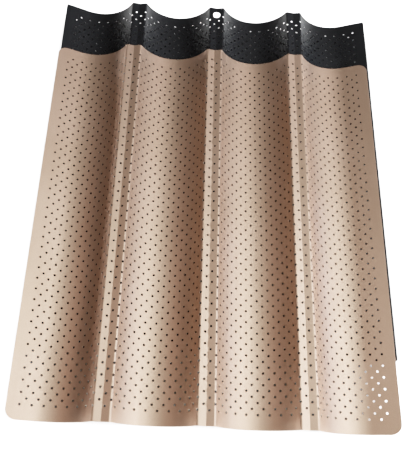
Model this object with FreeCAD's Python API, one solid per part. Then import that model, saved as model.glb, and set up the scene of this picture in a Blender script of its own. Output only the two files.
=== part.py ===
import FreeCAD, Part
import math
import os

# Baguette trays, a nested pair: a black tray below and a champagne tray on top. Each tray is
# one flat square blank pressed into four round channels. Millimetres, +Z up, channels along Y,
# the lower tray rests on Z = 0. The 2 mm perforation of the sheet is left out of these solids:
# it is far smaller than anything that the trays hold or rest on.

# Blank
SHEET_T = 0.6            # sheet thickness
TRAY_LENGTH = 380.0      # along the channels
BLANK_WIDTH = 380.0      # across the channels, measured along the sheet before pressing

# Pressed section, on the middle of the sheet
CHANNEL_COUNT = 4
CHANNEL_PITCH = 85.0     # from one ridge to the next
CHANNEL_RADIUS = 40.0
RIDGE_WIDTH = 15.0       # flat-topped ridge between two channels
GROOVE_DEPTH = 1.4       # shallow V down the middle of each ridge
SHOULDER_RADIUS = 2.0    # bend where a ridge turns down into a channel
GROOVE_RADIUS = 1.5      # bend at the bottom of the V
OUTER_WALL_SLOPE = 22.0  # degrees, straight flare of the two outside walls

# Upper tray
UPPER_CORNER_RADIUS = 9.0
UPPER_TRIM = 1.5         # cut off along the sheet at each side, so that it is the narrower one
UPPER_SHIFT_X = -2.0     # where the upper tray lies on the lower one
UPPER_SHIFT_Y = -62.0
UPPER_SHIFT_Z = 5.0

# Lower tray
LOWER_CORNER_RADIUS = 1.5
HANG_HOLE_DIAMETER = 8.0
HANG_HOLE_EDGE = 9.5     # from the back edge to the hole's centre

Y_AXIS = FreeCAD.Vector(0, 1, 0)
HALF_LENGTH = TRAY_LENGTH / 2


class Segment:
    """A straight run or an arc of the section, along the middle of the sheet.

    bend is +1 where the arc's centre is above the sheet, -1 where it is below, 0 when straight.
    heading is the direction of travel in radians above +X, at the segment's start.
    """

    def __init__(self, start, heading, length, bend=0, radius=0.0):
        self.start = start
        self.heading = heading
        self.length = length
        self.bend = bend
        self.radius = radius

    def point(self, run, offset=0.0):
        """The point this far along, moved off the middle by offset, positive upwards."""
        turn = self.turn(run)
        if self.bend:
            side = self.bend * self.radius
            centre_x = self.start[0] - side * math.sin(self.heading)
            centre_z = self.start[1] + side * math.cos(self.heading)
            reach = side - offset
            x = centre_x + reach * math.sin(self.heading + turn)
            z = centre_z - reach * math.cos(self.heading + turn)
        else:
            x = self.start[0] + run * math.cos(self.heading) - offset * math.sin(self.heading)
            z = self.start[1] + run * math.sin(self.heading) + offset * math.cos(self.heading)
        return (x, z)

    def turn(self, run):
        if not self.bend:
            return 0.0
        return self.bend * run / self.radius

    def edge(self, offset, y):
        """The segment as an edge of the face at this height above or below the middle."""
        ends = [self.point(0.0, offset), self.point(self.length, offset)]
        points = [FreeCAD.Vector(x, y, z) for x, z in ends]
        if not self.bend:
            return Part.makeLine(points[0], points[1])
        x, z = self.point(self.length / 2, offset)
        return Part.Arc(points[0], FreeCAD.Vector(x, y, z), points[1]).toShape()


def half_section():
    """The segments from the middle of the centre ridge out to the tray's edge, along +X."""
    slope = math.atan2(GROOVE_DEPTH, RIDGE_WIDTH / 2)
    channel_z = CHANNEL_RADIUS + SHEET_T / 2
    half_chord = CHANNEL_PITCH / 2 - RIDGE_WIDTH / 2
    crest_z = channel_z - math.sqrt(CHANNEL_RADIUS ** 2 - half_chord ** 2)
    vee_z = crest_z - GROOVE_DEPTH

    # The shoulder bend touches the ridge's flat and the channel's circle.
    base_x = SHOULDER_RADIUS * math.sin(slope)
    base_z = vee_z - SHOULDER_RADIUS * math.cos(slope)
    across = base_x - CHANNEL_PITCH / 2
    up = base_z - channel_z
    along = across * math.cos(slope) + up * math.sin(slope)
    reach = CHANNEL_RADIUS + SHOULDER_RADIUS
    flat_end = -along - math.sqrt(along ** 2 - across ** 2 - up ** 2 + reach ** 2)
    bend_x = base_x + flat_end * math.cos(slope)
    bend_z = base_z + flat_end * math.sin(slope)
    wall_angle = math.atan2(CHANNEL_PITCH / 2 - bend_x, channel_z - bend_z)

    # The bend at the bottom of the V touches the two flats of the ridge.
    groove_run = GROOVE_RADIUS * slope
    groove_z = vee_z + GROOVE_RADIUS / math.cos(slope) - GROOVE_RADIUS
    flat_start = GROOVE_RADIUS * math.tan(slope)

    groove_out = (0.0, groove_run, 1, GROOVE_RADIUS)
    groove_in = (-slope, groove_run, 1, GROOVE_RADIUS)
    flat_out = (slope, flat_end - flat_start, 0, 0.0)
    flat_in = (-slope, flat_end - flat_start, 0, 0.0)
    shoulder_run = SHOULDER_RADIUS * (slope + wall_angle)
    shoulder_out = (slope, shoulder_run, -1, SHOULDER_RADIUS)
    shoulder_in = (wall_angle, shoulder_run, -1, SHOULDER_RADIUS)
    channel = (-wall_angle, CHANNEL_RADIUS * 2 * wall_angle, 1, CHANNEL_RADIUS)
    flare = math.radians(OUTER_WALL_SLOPE)
    outer_channel = (-wall_angle, CHANNEL_RADIUS * (wall_angle + flare), 1, CHANNEL_RADIUS)

    plan = []
    for _ in range(CHANNEL_COUNT // 2 - 1):
        plan += [groove_out, flat_out, shoulder_out, channel, shoulder_in, flat_in, groove_in]
    plan += [groove_out, flat_out, shoulder_out, outer_channel]

    segments = []
    place = (0.0, groove_z)
    used = 0.0
    for heading, length, bend, radius in plan:
        segment = Segment(place, heading, length, bend, radius)
        segments.append(segment)
        place = segment.point(length)
        used += length
    segments.append(Segment(place, flare, BLANK_WIDTH / 2 - used))
    return segments


def sheet(segments):
    """A length of plain sheet with this section."""
    top = [segment.edge(SHEET_T / 2, -HALF_LENGTH) for segment in segments]
    bottom = [segment.edge(-SHEET_T / 2, -HALF_LENGTH) for segment in segments]
    first = Part.makeLine(bottom[0].Vertexes[0].Point, top[0].Vertexes[0].Point)
    last = Part.makeLine(top[-1].Vertexes[-1].Point, bottom[-1].Vertexes[-1].Point)
    outline = Part.Wire(Part.__sortEdges__(top + bottom + [first, last]))
    return Part.Face(outline).extrude(Y_AXIS * TRAY_LENGTH)


def edge_cutters(radius, trim=0.0):
    """What has to go from the tray, seen from above, to trim its sides and round its corners."""
    far_x = SECTION_END + SHEET_T
    far_y = HALF_LENGTH + SHEET_T
    trimmed_x = SEGMENTS[-1].point(SEGMENTS[-1].length - trim)[0]
    rounded_x = trimmed_x - radius
    rounded_y = HALF_LENGTH - radius
    height = 2 * CHANNEL_RADIUS
    cutters = []
    for side_x in (-1, 1):
        if trim:
            low_x = min(side_x * trimmed_x, side_x * far_x)
            corner = FreeCAD.Vector(low_x, -rounded_y, -height / 2)
            cutters.append(Part.makeBox(far_x - trimmed_x, 2 * rounded_y, height, corner))
        for side_y in (-1, 1):
            low_x = min(side_x * rounded_x, side_x * far_x)
            low_y = min(side_y * rounded_y, side_y * far_y)
            corner = FreeCAD.Vector(low_x, low_y, -height / 2)
            block = Part.makeBox(far_x - rounded_x, far_y - rounded_y, height, corner)
            middle = FreeCAD.Vector(side_x * rounded_x, side_y * rounded_y, -height / 2)
            cutters.append(block.cut(Part.makeCylinder(radius, height, middle)))
    return cutters


def sheet_gap():
    """The least distance between the two trays, found from their plain sections."""
    below = sheet(SEGMENTS)
    above = below.copy()
    above.translate(FreeCAD.Vector(UPPER_SHIFT_X, 0, UPPER_SHIFT_Z))
    below_left = below.mirror(FreeCAD.Vector(0, 0, 0), FreeCAD.Vector(1, 0, 0))
    above_left = below_left.copy()
    above_left.translate(FreeCAD.Vector(UPPER_SHIFT_X, 0, UPPER_SHIFT_Z))
    return min(below.distToShape(above)[0], below_left.distToShape(above_left)[0])


def finished(tray, name):
    """Write one tray, after checking that it is a single sound solid."""
    solids = tray.Solids
    assert len(solids) == 1, name
    assert solids[0].isValid(), name
    solids[0].exportStep(os.path.join("parts", name + ".step"))
    box = solids[0].BoundBox
    size = "%.2f x %.2f x %.2f" % (box.XLength, box.YLength, box.ZLength)
    print(name, size, "middle %.3f" % box.Center.x, "volume %.0f" % solids[0].Volume, "faces", len(solids[0].Faces))


SEGMENTS = half_section()
SECTION_END = SEGMENTS[-1].point(SEGMENTS[-1].length)[0]
half = sheet(SEGMENTS)
tray = half.fuse(half.mirror(FreeCAD.Vector(0, 0, 0), FreeCAD.Vector(1, 0, 0)))

upper = tray.cut(Part.makeCompound(edge_cutters(UPPER_CORNER_RADIUS, UPPER_TRIM)))
lower = tray.cut(Part.makeCompound(edge_cutters(LOWER_CORNER_RADIUS)))
hang_y = HALF_LENGTH - HANG_HOLE_EDGE
hang_punch = Part.makeCylinder(HANG_HOLE_DIAMETER / 2, CHANNEL_RADIUS, FreeCAD.Vector(0, hang_y, 0))
lower = lower.cut(hang_punch)

# The pair is centred on the origin in X and Y, and the lower tray stands on Z = 0.
narrower = (lower.BoundBox.XLength - upper.BoundBox.XLength) / 2
lower_x = -(UPPER_SHIFT_X + narrower) / 2
upper.translate(FreeCAD.Vector(lower_x + UPPER_SHIFT_X, UPPER_SHIFT_Y / 2, UPPER_SHIFT_Z))
lower.translate(FreeCAD.Vector(lower_x, -UPPER_SHIFT_Y / 2, 0))

os.makedirs("parts", exist_ok=True)
finished(upper, "upper_tray")
finished(lower, "lower_tray")
print("least gap between the trays %.3f" % sheet_gap())
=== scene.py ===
"""Two nested baguette trays, each pressed from one square blank of perforated, coated sheet."""

import math

import bpy
import numpy as np
from mathutils import Matrix, Vector


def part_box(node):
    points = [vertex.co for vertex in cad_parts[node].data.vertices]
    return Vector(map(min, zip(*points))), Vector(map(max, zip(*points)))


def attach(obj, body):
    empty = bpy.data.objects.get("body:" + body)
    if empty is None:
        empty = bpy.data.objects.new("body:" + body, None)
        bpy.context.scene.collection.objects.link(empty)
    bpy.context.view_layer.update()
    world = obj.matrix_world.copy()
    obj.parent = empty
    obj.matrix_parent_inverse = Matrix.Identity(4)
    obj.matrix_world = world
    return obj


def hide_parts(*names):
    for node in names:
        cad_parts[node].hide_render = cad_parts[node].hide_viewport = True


MM = 0.001

# One tray, in millimetres. The section is the one that part.py presses.
SHEET_T = 0.6
BLANK = 380.0                           # the square blank's side
CHANNEL_PITCH = 85.0
CHANNEL_RADIUS = 40.0
RIDGE_WIDTH = 15.0
GROOVE_DEPTH = 1.4
SHOULDER_RADIUS = 2.0
GROOVE_RADIUS = 1.5
OUTER_WALL_SLOPE = math.radians(22.0)

# Perforation: one cell of the lattice in two has a hole at its middle
CELL = 5.0
CELLS = round(BLANK / CELL)
PLAIN_BORDER = 2                        # cells without holes along each edge
HOLE_RADIUS = 1.0
HANG_HOLE_RADIUS = 4.0
HANG_HOLE_EDGE = 9.5

# Mesh
ROWS = 3                                # divisions of a cell along the tray
WIDEST_STEP = 1.7                       # across the tray
SHARPEST_STEP = math.radians(13.0)
ROLL = 0.1                              # rolled-over edge left by the punch
RING_TURN = math.radians(16.0)          # bend across a cell for each further ring round its hole
RING_SPREAD = 1.2                       # above 1, rings crowd towards the hole
LEAST_STEP = 0.05                       # across the tray

# Texture chart of the flat blank: hole walls lie inside their holes, cut edges outside the blank
CHART_NAME = "OFBake"
CHART_MARGIN = 4.0
CHART_ROLL = 0.2
CHART_WALL = 0.6

# The two trays differ at their edges
UPPER_CORNER_RADIUS = 9.0
UPPER_TRIM = 1.5                        # cut off along the sheet at each side
LOWER_CORNER_RADIUS = 1.5
LOWER_TRIM = 0.0

# Camera, in metres, degrees and millimetres of lens
CAMERA_PLACE = (-0.03827, -0.2713, 0.54197)
CAMERA_TURN = 4.29
CAMERA_DIP = 66.2
CAMERA_ROLL = 6.85
CAMERA_LENS = 49.05
CAMERA_SHIFT = 0.0334
SENSOR_WIDTH = 36.0
NEAREST_SEEN = 0.01

# Stage, in metres
FLOOR_REACH = 20.0
FLOOR_Z = -0.0001                       # just clear of the channels that rest on it
BACKDROP_SIDES = 32
BACKDROP_HEIGHT = 20.0
BACKDROP_GLOW = 5.0
SUN_WIDTH = math.radians(40.0)
SUN_DIP = math.radians(35.0)
SUNS = (
    # turn from +X towards +Y in degrees, strength
    (0.0, 13.0),
    (180.0, 11.0),
    (90.0, 11.0),
    (-90.0, 4.5),
)

# The veil under the trays: grid lines, and how far to the right it is dark
VEIL_Z = -0.00005
VEIL_X = (-0.172, -0.16, 0.125, 0.156, 0.165, 0.176)
VEIL_Y = (-0.2205, -0.2145, -0.165, -0.155, 0.206, 0.214)
VEIL_NEAR_END = -0.16                   # in front of this only the upper tray is over the floor
VEIL_RIGHT_NEAR = 0.15
VEIL_RIGHT_FAR = 0.17
VEIL_DEPTH = 0.97

# Lamps that light the trays
WORLD_GLOW = 0.01
LAMP_DISTANCE = 1.2
LAMPS = (
    # name, turn from +X towards +Y and height in degrees, size in metres, power in watts, colour
    ("key", -42.0, 40.0, 0.5, 14.1, (0.925, 0.97, 1.0)),
    ("side", 0.0, 37.0, 0.9, 13.3, (0.9, 0.965, 1.0)),
    ("side_high", 10.0, 65.0, 0.6, 7.6, (0.9, 1.0, 0.98)),
    ("side_low", 5.0, 14.0, 0.5, 2.7, (0.4, 0.55, 1.0)),
    ("top", 0.0, 89.0, 0.8, 3.4, (0.93, 1.0, 0.95)),
    ("back", 60.0, 35.0, 0.8, 2.1, (1.0, 0.84, 0.9)),
    ("left", 180.0, 55.0, 0.8, 2.2, (1.0, 0.62, 0.49)),
)

# Film response
WHITE_LEVEL = 4.0                       # light level that comes out white
FILM_CONTRAST = 1.3
FILM_STEPS = 16
FILM_CROWDING = 3                       # above 1, the curve's points crowd towards black
COMBINED_CURVE = 3                      # the one that bends all three colours alike


class Section:
    """The middle of the sheet, walked from the centre ridge outwards."""

    def __init__(self):
        slope = math.atan2(GROOVE_DEPTH, RIDGE_WIDTH / 2)
        channel_z = CHANNEL_RADIUS + SHEET_T / 2
        half_chord = (CHANNEL_PITCH - RIDGE_WIDTH) / 2
        vee_z = channel_z - math.sqrt(CHANNEL_RADIUS ** 2 - half_chord ** 2) - GROOVE_DEPTH

        # The shoulder's bend touches the flat of the ridge and the circle of the channel.
        base = (SHOULDER_RADIUS * math.sin(slope), vee_z - SHOULDER_RADIUS * math.cos(slope))
        across = base[0] - CHANNEL_PITCH / 2
        up = base[1] - channel_z
        along = across * math.cos(slope) + up * math.sin(slope)
        reach = CHANNEL_RADIUS + SHOULDER_RADIUS
        flat_end = -along - math.sqrt(along ** 2 - across ** 2 - up ** 2 + reach ** 2)
        wall = math.atan2(
            -across - flat_end * math.cos(slope), -up - flat_end * math.sin(slope)
        )

        groove = (GROOVE_RADIUS * slope, slope)
        flat = (flat_end - GROOVE_RADIUS * math.tan(slope), 0.0)
        shoulder = (SHOULDER_RADIUS * (slope + wall), -slope - wall)
        channel = (CHANNEL_RADIUS * 2 * wall, 2 * wall)
        outer = (CHANNEL_RADIUS * (wall + OUTER_WALL_SLOPE), wall + OUTER_WALL_SLOPE)
        ridge = [groove, flat, shoulder]
        runs = ridge + [channel] + ridge[::-1] + ridge + [outer]
        runs.append((BLANK / 2 - sum(length for length, _ in runs), 0.0))

        self.starts = []
        self.bends = []
        self.places = []
        walked, heading = 0.0, 0.0
        x, z = 0.0, vee_z + GROOVE_RADIUS / math.cos(slope) - GROOVE_RADIUS
        for length, turn in runs:
            self.starts.append(walked)
            self.bends.append(turn / length)
            self.places.append((x, z, heading))
            chord = length * np.sinc(turn / 2 / math.pi)
            x += chord * math.cos(heading + turn / 2)
            z += chord * math.sin(heading + turn / 2)
            heading += turn
            walked += length
        self.starts = np.array(self.starts)
        self.bends = np.array(self.bends)
        self.places = np.array(self.places)

    def run_at(self, across):
        return np.searchsorted(self.starts, np.abs(across), side="right") - 1

    def at(self, across):
        """x, z and heading of the sheet at these distances from the middle of the blank."""
        run = self.run_at(across)
        walked = np.abs(across) - self.starts[run]
        turn = self.bends[run] * walked
        x, z, heading = self.places[run].T
        chord = walked * np.sinc(turn / 2 / math.pi)
        side = np.where(across < 0, -1.0, 1.0)
        x = side * (x + chord * np.cos(heading + turn / 2))
        z = z + chord * np.sin(heading + turn / 2)
        return x, z, side * (heading + turn)

    def steps(self, start, end):
        """Distances between start and end, close enough together to follow the bends."""
        breaks = np.concatenate([-self.starts, self.starts])
        inside = breaks[(breaks > start + LEAST_STEP) & (breaks < end - LEAST_STEP)]
        stops = np.unique(np.concatenate([[start], inside, [end]]))
        lines = []
        for low, high in zip(stops[:-1], stops[1:]):
            bend = abs(self.bends[self.run_at((low + high) / 2)])
            count = math.ceil((high - low) * max(1 / WIDEST_STEP, bend / SHARPEST_STEP) - 1e-6)
            lines.extend(np.linspace(low, high, count, endpoint=False))
        return lines


SECTION = Section()


class Sheet:
    """One flat face of the blank as a mesh in blank coordinates: across and along the tray."""

    def __init__(self, hang_hole, inset):
        self.inset = inset
        self.hang_hole = hang_hole
        self.across = []
        self.first = []
        for cell in range(CELLS):
            self.first.append(len(self.across))
            low = cell * CELL - BLANK / 2
            self.across.extend(SECTION.steps(low, low + CELL))
        self.first.append(len(self.across))
        self.across = np.array(self.across + [BLANK / 2])
        self.along = np.linspace(-BLANK / 2, BLANK / 2, CELLS * ROWS + 1)
        self.columns = len(self.across)
        self.rows = len(self.along)

        grid = np.meshgrid(self.across, self.along, indexing="ij")
        self.points = [np.stack(grid, -1).reshape(-1, 2)]
        self.count = self.columns * self.rows
        self.faces = []
        self.holes = []
        self.open_cells()
        self.plain_cells()

    def corner(self, column, row):
        return column * self.rows + row

    def open_cells(self):
        self.taken = np.zeros((CELLS, CELLS), bool)
        if self.hang_hole:
            self.punch_hang_hole()
        for column in range(PLAIN_BORDER, CELLS - PLAIN_BORDER):
            rows = np.arange(PLAIN_BORDER, CELLS - PLAIN_BORDER)
            rows = rows[(rows + column) % 2 == 0]
            rows = rows[~self.taken[column, rows]]
            self.taken[column, rows] = True
            middle = np.array([(column + 0.5) * CELL - BLANK / 2, 0.5 * CELL - BLANK / 2])
            self.punch(column, 1, rows, 1, middle, HOLE_RADIUS)

    def punch_hang_hole(self):
        """The hanging hole, which runs into one hole of the perforation."""
        column = CELLS // 2 - 1
        row = CELLS - 3
        self.taken[column:column + 2, row:row + 2] = True
        middle = np.array([0.0, BLANK / 2 - HANG_HOLE_EDGE])
        self.punch(column, 2, np.array([row]), 2, middle - [0, row * CELL], None)

    def rim(self, around, radius):
        """Distance from a hole's middle to its rim in each direction."""
        if radius:
            return np.full(len(around), radius + self.inset)
        big = HANG_HOLE_RADIUS + self.inset
        small = HOLE_RADIUS + self.inset
        offset = np.array([-CELL / 2, HANG_HOLE_EDGE - (PLAIN_BORDER + 0.5) * CELL])
        ahead = around @ offset
        aside = around @ np.array([-offset[1], offset[0]])
        hit = np.abs(aside) < small
        far = ahead + np.sqrt(np.where(hit, small ** 2 - aside ** 2, 0.0))
        return np.where(hit, np.maximum(big, far), big)

    def punch(self, column, width, rows, height, middle, radius):
        """Rings of quads from the border of each block of cells to the rim of its hole."""
        start, end = self.first[column], self.first[column + width]
        tall = ROWS * height
        ring = [(c, 0) for c in range(start, end)]
        ring += [(end, r) for r in range(tall)]
        ring += [(c, tall) for c in range(end, start, -1)]
        ring += [(start, r) for r in range(tall, 0, -1)]
        ring = np.array(ring)
        border = np.stack([self.across[ring[:, 0]], self.along[ring[:, 1]]], -1)
        around = border - middle
        around /= np.linalg.norm(around, axis=1)[:, None]
        rim = middle + around * self.rim(around, radius)[:, None]

        steps = self.across[start:end + 1]
        bends = np.abs(SECTION.bends[SECTION.run_at((steps[1:] + steps[:-1]) / 2)])
        loops = 1 + int((bends * np.diff(steps)).sum() / RING_TURN)
        blends = (np.arange(loops) / loops)[:, None, None] ** RING_SPREAD
        rings = rim + (border - rim) * blends
        shift = np.zeros((len(rows), 1, 1, 2))
        shift[:, 0, 0, 1] = rows * CELL
        points = rings + shift

        index = self.count + np.arange(points[..., 0].size).reshape(points.shape[:3])
        self.points.append(points.reshape(-1, 2))
        self.count += points[..., 0].size
        outer = self.corner(ring[:, 0], ring[:, 1] + rows[:, None] * ROWS)
        index = np.concatenate([index, outer[:, None]], axis=1)
        inner, outer = index[:, :-1], index[:, 1:]
        quads = [inner, outer, np.roll(outer, -1, 2), np.roll(inner, -1, 2)]
        self.faces.append(np.stack(quads, -1).reshape(-1, 4))
        self.holes.append((index[:, 0], np.broadcast_to(-around, (len(rows),) + around.shape)))

    def plain_cells(self):
        cell_of = np.searchsorted(self.first, np.arange(self.columns - 1), side="right") - 1
        plain = ~self.taken[cell_of][:, np.arange(self.rows - 1) // ROWS]
        column, row = np.nonzero(plain)
        quads = [(0, 0), (1, 0), (1, 1), (0, 1)]
        self.faces.append(np.stack([self.corner(column + c, row + r) for c, r in quads], -1))

    def outline(self):
        """The blank's edge, anticlockwise."""
        last_column, last_row = self.columns - 1, self.rows - 1
        return np.concatenate([
            self.corner(np.arange(last_column), 0),
            self.corner(last_column, np.arange(last_row)),
            self.corner(np.arange(last_column, 0, -1), last_row),
            self.corner(0, np.arange(last_row, 0, -1)),
        ])


def rounded(points, radius, trim, inset):
    """Blank coordinates after the sides are trimmed, the corners rounded and the edge inset."""
    edge = np.array([BLANK / 2 - trim, BLANK / 2])
    reach = np.array([radius / math.cos(OUTER_WALL_SLOPE), radius])
    centre = edge - reach
    beyond = (np.minimum(np.abs(points), edge) - centre) / reach
    corner = (beyond > 0).all(1)
    size = np.linalg.norm(beyond[corner], axis=1)
    scale = (beyond[corner].max(1) / np.where(size > 0, size, 1.0))[:, None]
    moved = np.minimum(np.abs(points), edge - inset)
    moved[corner] = centre + beyond[corner] * scale * reach
    return np.sign(points) * np.minimum(moved, edge - inset)


def pressed(points, offset):
    """Blank coordinates to millimetres in space, this far above the middle of the sheet."""
    x, z, heading = SECTION.at(points[:, 0])
    return np.stack([
        x - offset * np.sin(heading), points[:, 1], z + offset * np.cos(heading)
    ], -1)


def sheet_normal(points):
    heading = SECTION.at(points[:, 0])[2]
    return np.stack([-np.sin(heading), np.zeros(len(points)), np.cos(heading)], -1)


def edge_normal(points, outward):
    """Directions across the blank's edge, turned with the pressed sheet."""
    heading = SECTION.at(points[:, 0])[2]
    return np.stack([
        outward[:, 0] * np.cos(heading), outward[:, 1], outward[:, 0] * np.sin(heading)
    ], -1)


def outward_of(points):
    """Unit directions off the blank, square to its closed outline."""
    run = np.roll(points, -1, 0) - np.roll(points, 1, 0)
    run /= np.linalg.norm(run, axis=1)[:, None]
    return np.stack([run[:, 1], -run[:, 0]], -1)


class Builder:
    """Collects vertices, faces, corner normals and material numbers of one mesh."""

    def __init__(self):
        self.vertices = []
        self.count = 0
        self.faces = []
        self.normals = []
        self.charts = []
        self.slots = []

    def add(self, vertices):
        self.vertices.append(vertices)
        self.count += len(vertices)
        return self.count - len(vertices)

    def fill(self, faces, normals, chart, slot):
        self.faces.append(faces)
        self.normals.append(normals)
        self.charts.append(chart)
        self.slots.append(np.full(len(faces), slot))

    def mesh(self, name, materials):
        vertices = np.concatenate(self.vertices)
        faces = np.concatenate(self.faces)
        used, index = np.unique(faces, return_inverse=True)
        mesh = bpy.data.meshes.new(name)
        mesh.from_pydata(vertices[used] * MM, [], index.reshape(faces.shape))
        for material in materials:
            mesh.materials.append(material)
        mesh.polygons.foreach_set("material_index", np.concatenate(self.slots).astype(np.int32))
        mesh.polygons.foreach_set("use_smooth", np.ones(len(faces), bool))
        mesh.normals_split_custom_set(np.concatenate(self.normals).reshape(-1, 3))
        charts = np.concatenate(self.charts).astype(np.float32)
        mesh.uv_layers.new(name=CHART_NAME).data.foreach_set("uv", charts.reshape(-1))
        mesh.update()
        return mesh


def charted(points, side):
    """Where blank coordinates lie in the texture: the top in the left half, the underside right."""
    span = BLANK + 2 * CHART_MARGIN
    across = side * points[..., 0] / span / 2 + (0.25 if side > 0 else 0.75)
    return np.stack([across, points[..., 1] / span + 0.5], -1)


COATING, CUT_EDGE = 0, 1


def tray_mesh(name, corner_radius, trim, hang_hole, materials):
    """A whole tray about its own middle, with its channels' undersides on z = 0."""
    builder = Builder()
    faces_of = {}
    for side, inset in ((1, ROLL), (-1, 0.0)):
        sheet = Sheet(hang_hole, inset)
        points = rounded(np.concatenate(sheet.points), corner_radius, trim, inset)
        start = builder.add(pressed(points, side * SHEET_T / 2))
        faces = np.concatenate(sheet.faces)[:, ::side]
        normals = side * sheet_normal(points)
        builder.fill(faces + start, normals[faces], charted(points, side)[faces], COATING)
        faces_of[side] = (sheet, points, start)

    top, top_points, top_start = faces_of[1]
    low, low_points, low_start = faces_of[-1]
    outline = top.outline()[None]
    outline_out = outward_of(low_points[outline[0]])[None]
    for loops, outward in top.holes + [(outline, outline_out)]:
        shape = loops.shape
        flat = loops.reshape(-1)
        out = outward.reshape(-1, 2)
        wall_points = low_points[flat]
        wall = edge_normal(wall_points, out)
        rolled = builder.add(pressed(wall_points, SHEET_T / 2 - ROLL))
        index = np.arange(flat.size).reshape(shape)
        after = np.roll(index, -1, 1)
        if loops is outline:
            index, after = after, index
        top_normal = sheet_normal(top_points[flat])
        top_chart = charted(top_points[flat], 1)
        rolled_chart = charted(wall_points + out * CHART_ROLL, 1)
        low_chart = charted(wall_points + out * CHART_WALL, 1)
        for upper, lower, upper_normal, upper_chart, lower_chart, slot in (
            (
                flat + top_start, np.arange(flat.size) + rolled,
                top_normal, top_chart, rolled_chart, COATING
            ),
            (
                np.arange(flat.size) + rolled, flat + low_start,
                wall, rolled_chart, low_chart, CUT_EDGE
            ),
        ):
            order = [(upper, index), (upper, after), (lower, after), (lower, index)]
            quads = np.stack([which[place] for which, place in order], -1).reshape(-1, 4)
            places = np.stack([index, after, after, index], -1).reshape(-1, 4)
            shades = np.stack([
                (upper_normal if corner < 2 else wall)[places[:, corner]] for corner in range(4)
            ], 1)
            charts = np.stack([
                (upper_chart if corner < 2 else lower_chart)[places[:, corner]]
                for corner in range(4)
            ], 1)
            builder.fill(quads, shades, charts, slot)
    return builder.mesh(name, materials)


class Nodes:
    """A material's node tree, with short calls to add and join nodes."""

    def __init__(self, name):
        self.material = bpy.data.materials.new(name)
        self.material.use_nodes = True
        self.tree = self.material.node_tree
        self.surface = self.tree.nodes["Principled BSDF"]
        self.place = self.tree.nodes.new("ShaderNodeTexCoord").outputs["Object"]

    def add(self, kind, **inputs):
        node = self.tree.nodes.new(kind)
        for key, value in inputs.items():
            self.join(value, node.inputs[key.replace("_", " ")])
        return node

    def join(self, value, socket):
        if isinstance(value, bpy.types.NodeSocket):
            self.tree.links.new(value, socket)
        else:
            socket.default_value = value

    def noise(self, size, detail=2.0, stretch=1.0):
        """Noise whose features are this many metres across, longer along the tray by stretch."""
        place = self.place
        if stretch != 1.0:
            mapping = self.add("ShaderNodeMapping", Vector=place)
            mapping.inputs["Scale"].default_value = (1.0, 1.0 / stretch, 1.0)
            place = mapping.outputs["Vector"]
        node = self.add("ShaderNodeTexNoise", Vector=place, Scale=1.0 / size, Detail=detail)
        return node.outputs["Fac"]

    def remap(self, value, low, high, to_low, to_high):
        node = self.add("ShaderNodeMapRange", Value=value)
        for key, number in (
            ("From Min", low), ("From Max", high), ("To Min", to_low), ("To Max", to_high)
        ):
            node.inputs[key].default_value = number
        return node.outputs["Result"]

    def mix(self, factor, first, second, blend="MIX"):
        node = self.tree.nodes.new("ShaderNodeMix")
        node.data_type = "RGBA"
        node.blend_type = blend
        self.join(factor, node.inputs["Factor"])
        self.join(first, node.inputs["A"])
        self.join(second, node.inputs["B"])
        return node.outputs["Result"]

    def add_up(self, first, second):
        node = self.tree.nodes.new("ShaderNodeMath")
        self.join(first, node.inputs[0])
        self.join(second, node.inputs[1])
        return node.outputs["Value"]

    def attribute(self, name):
        node = self.tree.nodes.new("ShaderNodeAttribute")
        node.attribute_name = name
        return node.outputs["Fac"]

    def bump(self, height, distance, strength=1.0):
        node = self.add("ShaderNodeBump", Height=height)
        node.inputs["Distance"].default_value = distance
        node.inputs["Strength"].default_value = strength
        self.join(node.outputs["Normal"], self.surface.inputs["Normal"])

    def fixed(self, **values):
        for key, value in values.items():
            self.surface.inputs[key.replace("_", " ")].default_value = value


def champagne_coating():
    nodes = Nodes("champagne_coating")
    fleck = nodes.noise(0.0005, detail=3.0)
    cloud = nodes.noise(0.06, detail=3.0)
    drawn = nodes.noise(0.004, detail=3.0, stretch=25.0)
    colour = nodes.mix(
        nodes.remap(cloud, 0.35, 0.65, 0.0, 1.0),
        (0.56, 0.39, 0.29, 1.0), (0.60, 0.42, 0.32, 1.0)
    )
    colour = nodes.mix(
        nodes.remap(fleck, 0.35, 0.65, 0.0, 0.35), colour, (0.44, 0.29, 0.21, 1.0)
    )
    nodes.join(colour, nodes.surface.inputs["Base Color"])
    rough = nodes.add_up(
        nodes.remap(fleck, 0.3, 0.7, -0.03, 0.03), nodes.remap(drawn, 0.3, 0.7, 0.47, 0.53)
    )
    nodes.join(rough, nodes.surface.inputs["Roughness"])
    nodes.fixed(Metallic=0.75, Coat_Weight=0.3, Coat_Roughness=0.35, Coat_IOR=1.5)
    nodes.bump(fleck, 0.00003)
    return nodes.material


def black_coating():
    nodes = Nodes("black_coating")
    fleck = nodes.noise(0.0006, detail=3.0)
    cloud = nodes.noise(0.05, detail=3.0)
    colour = nodes.mix(
        nodes.remap(cloud, 0.35, 0.65, 0.0, 1.0),
        (0.014, 0.014, 0.015, 1.0), (0.02, 0.02, 0.022, 1.0)
    )
    nodes.join(colour, nodes.surface.inputs["Base Color"])
    nodes.join(nodes.remap(fleck, 0.3, 0.7, 0.5, 0.6), nodes.surface.inputs["Roughness"])
    nodes.fixed(Metallic=0.0, Specular_IOR_Level=0.22)
    nodes.bump(fleck, 0.00004)
    return nodes.material


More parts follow.
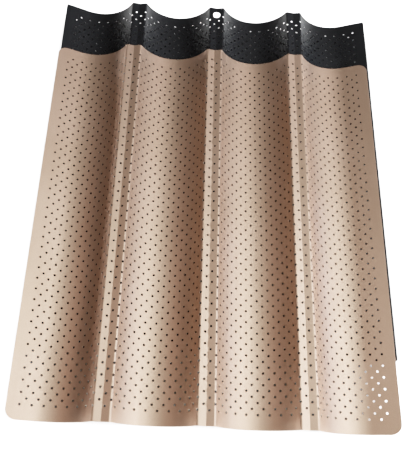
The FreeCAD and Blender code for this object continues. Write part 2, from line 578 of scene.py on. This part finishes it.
def cut_edge(name, colour):
    """Bare metal and torn coating on an edge that the shears or the punch left."""
    nodes = Nodes(name)
    grain = nodes.noise(0.0008, detail=3.0)
    dark = tuple(0.55 * part for part in colour[:3]) + (1.0,)
    nodes.join(
        nodes.mix(nodes.remap(grain, 0.35, 0.65, 0.0, 1.0), dark, colour),
        nodes.surface.inputs["Base Color"]
    )
    nodes.join(nodes.remap(grain, 0.3, 0.7, 0.3, 0.5), nodes.surface.inputs["Roughness"])
    nodes.fixed(Metallic=0.9)
    return nodes.material


def floor_paint():
    nodes = Nodes("floor_paint")
    grain = nodes.noise(0.02, detail=2.0)
    nodes.join(
        nodes.mix(grain, (0.86, 0.86, 0.86, 1.0), (0.88, 0.88, 0.88, 1.0)),
        nodes.surface.inputs["Base Color"]
    )
    nodes.fixed(Roughness=0.8)
    return nodes.material


def backdrop_glow():
    nodes = Nodes("backdrop_glow")
    nodes.fixed(Emission_Color=(1.0, 1.0, 1.0, 1.0), Emission_Strength=BACKDROP_GLOW)
    return nodes.material


def shadow_veil():
    nodes = Nodes("shadow_veil")
    nodes.fixed(Base_Color=(0.03, 0.022, 0.018, 1.0), Roughness=1.0)
    depth = nodes.remap(nodes.attribute("shade"), 0.0, 1.0, 0.0, VEIL_DEPTH)
    nodes.join(depth, nodes.surface.inputs["Alpha"])
    return nodes.material


def add_tray(name, node, body, corner_radius, trim, hang_hole, materials):
    """One tray where the CAD has it."""
    mesh = tray_mesh(name, corner_radius, trim, hang_hole, materials)
    tray = bpy.data.objects.new(name, mesh)
    bpy.context.collection.objects.link(tray)
    low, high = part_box(node)
    tray.location = ((low[0] + high[0]) / 2, (low[1] + high[1]) / 2, low[2])
    bpy.context.view_layer.update()
    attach(tray, body)
    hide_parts(node)
    return tray


def add_camera():
    """A camera above the near edge, turned a little to the right and tilted."""
    turn = math.radians(CAMERA_TURN)
    dip = math.radians(CAMERA_DIP)
    roll = math.radians(CAMERA_ROLL)
    forward = Vector((
        math.sin(turn) * math.cos(dip), math.cos(turn) * math.cos(dip), -math.sin(dip)
    ))
    level_right = Vector((math.cos(turn), -math.sin(turn), 0))
    level_up = level_right.cross(forward)
    right = level_right * math.cos(roll) + level_up * math.sin(roll)
    up = right.cross(forward)
    data = bpy.data.cameras.new("camera")
    data.sensor_width = SENSOR_WIDTH
    data.lens = CAMERA_LENS
    data.shift_x = CAMERA_SHIFT
    data.clip_start = NEAREST_SEEN
    camera = bpy.data.objects.new("camera", data)
    axes = Matrix((right, up, -forward)).transposed().to_4x4()
    camera.matrix_world = Matrix.Translation(CAMERA_PLACE) @ axes
    bpy.context.collection.objects.link(camera)
    bpy.context.scene.camera = camera


def add_floor():
    mesh = bpy.data.meshes.new("floor")
    mesh.from_pydata(
        [(x * FLOOR_REACH, y * FLOOR_REACH, 0) for x, y in ((-1, -1), (1, -1), (1, 1), (-1, 1))],
        [], [(0, 1, 2, 3)]
    )
    mesh.materials.append(floor_paint())
    floor = bpy.data.objects.new("floor", mesh)
    floor.location.z = FLOOR_Z
    bpy.context.collection.objects.link(floor)
    return floor


def add_backdrop():
    """A pale wall all round, far off, which only the camera sees."""
    corners = []
    for step in range(BACKDROP_SIDES):
        turn = 2 * math.pi * step / BACKDROP_SIDES
        for height in (0, BACKDROP_HEIGHT):
            corners.append((FLOOR_REACH * math.cos(turn), FLOOR_REACH * math.sin(turn), height))
    count = len(corners)
    walls = [(at, (at + 2) % count, (at + 3) % count, at + 1) for at in range(0, count, 2)]
    mesh = bpy.data.meshes.new("backdrop")
    mesh.from_pydata(corners, [], walls)
    mesh.materials.append(backdrop_glow())
    backdrop = bpy.data.objects.new("backdrop", mesh)
    backdrop.visible_diffuse = False
    backdrop.visible_glossy = False
    backdrop.visible_transmission = False
    backdrop.visible_shadow = False
    bpy.context.collection.objects.link(backdrop)


def add_veil():
    """A soft-edged veil just above the floor, which deepens the shadow under the trays."""
    points = [(x, y, 0) for y in VEIL_Y for x in VEIL_X]
    shades = []
    for x, y, _ in points:
        right = VEIL_RIGHT_NEAR if y <= VEIL_NEAR_END else VEIL_RIGHT_FAR
        shades.append(float(VEIL_X[0] < x < right and VEIL_Y[0] < y < VEIL_Y[-1]))
    width = len(VEIL_X)
    quads = []
    for row in range(len(VEIL_Y) - 1):
        for start in range(row * width, (row + 1) * width - 1):
            quads.append((start, start + 1, start + width + 1, start + width))
    mesh = bpy.data.meshes.new("veil")
    mesh.from_pydata(points, [], quads)
    mesh.attributes.new("shade", "FLOAT", "POINT").data.foreach_set("value", shades)
    mesh.materials.append(shadow_veil())
    veil = bpy.data.objects.new("veil", mesh)
    veil.location.z = VEIL_Z
    veil.visible_camera = False
    veil.visible_glossy = False
    veil.visible_transmission = False
    bpy.context.collection.objects.link(veil)


def add_lamps():
    """Square soft lamps round the trays."""
    for name, turn, dip, size, power, colour in LAMPS:
        turn, dip = math.radians(turn), math.radians(dip)
        place = LAMP_DISTANCE * Vector((
            math.cos(turn) * math.cos(dip), math.sin(turn) * math.cos(dip), math.sin(dip)
        ))
        lamp = bpy.data.lights.new(name, "AREA")
        lamp.shape = "SQUARE"
        lamp.size = size
        lamp.energy = power
        lamp.color = colour
        light = bpy.data.objects.new(name, lamp)
        light.location = place
        light.rotation_mode = "QUATERNION"
        light.rotation_quaternion = place.to_track_quat("Z", "Y")
        light.visible_camera = False
        bpy.context.collection.objects.link(light)


def add_floor_light(floor):
    """Wide soft light from four sides, which whitens the floor without reaching the trays."""
    floor_only = bpy.data.collections.new("floor_only")
    floor_only.objects.link(floor)
    for turn, strength in SUNS:
        lamp = bpy.data.lights.new("floor_light", "SUN")
        lamp.energy = strength
        lamp.angle = SUN_WIDTH
        light = bpy.data.objects.new("floor_light", lamp)
        light.rotation_euler = (0.0, math.pi / 2 - SUN_DIP, math.radians(turn))
        light.light_linking.receiver_collection = floor_only
        bpy.context.collection.objects.link(light)


def add_world():
    world = bpy.data.worlds.new("studio")
    world.use_nodes = True
    background = world.node_tree.nodes["Background"]
    background.inputs["Color"].default_value = (1.0, 1.0, 1.0, 1.0)
    background.inputs["Strength"].default_value = WORLD_GLOW
    bpy.context.scene.world = world


def film_response():
    """The soft shoulder of a camera's film, up to the light level that comes out white."""
    settings = bpy.context.scene.view_settings
    settings.view_transform = "Standard"
    settings.use_curve_mapping = True
    mapping = settings.curve_mapping
    mapping.white_level = (WHITE_LEVEL,) * 3
    curve = mapping.curves[COMBINED_CURVE]
    top = 1 + WHITE_LEVEL ** -FILM_CONTRAST
    for step in range(1, FILM_STEPS):
        share = (step / FILM_STEPS) ** FILM_CROWDING
        level = (share * WHITE_LEVEL) ** FILM_CONTRAST
        curve.points.new(share, top * level / (level + 1))
    mapping.update()


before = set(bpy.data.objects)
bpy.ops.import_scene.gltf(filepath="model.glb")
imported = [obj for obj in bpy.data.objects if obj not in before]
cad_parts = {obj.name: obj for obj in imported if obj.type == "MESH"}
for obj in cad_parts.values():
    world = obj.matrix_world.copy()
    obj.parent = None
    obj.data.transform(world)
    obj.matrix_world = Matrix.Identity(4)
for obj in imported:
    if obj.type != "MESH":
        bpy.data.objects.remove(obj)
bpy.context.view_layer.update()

add_tray(
    "champagne_tray", "upper_tray", "upper",
    UPPER_CORNER_RADIUS, UPPER_TRIM, False,
    [champagne_coating(), cut_edge("champagne_cut_edge", (0.75, 0.66, 0.58, 1.0))]
)
add_tray(
    "black_tray", "lower_tray", "lower",
    LOWER_CORNER_RADIUS, LOWER_TRIM, True,
    [black_coating(), cut_edge("black_cut_edge", (0.16, 0.155, 0.15, 1.0))]
)
add_lamps()
add_floor_light(add_floor())
add_world()
add_backdrop()
add_veil()
film_response()
add_camera()
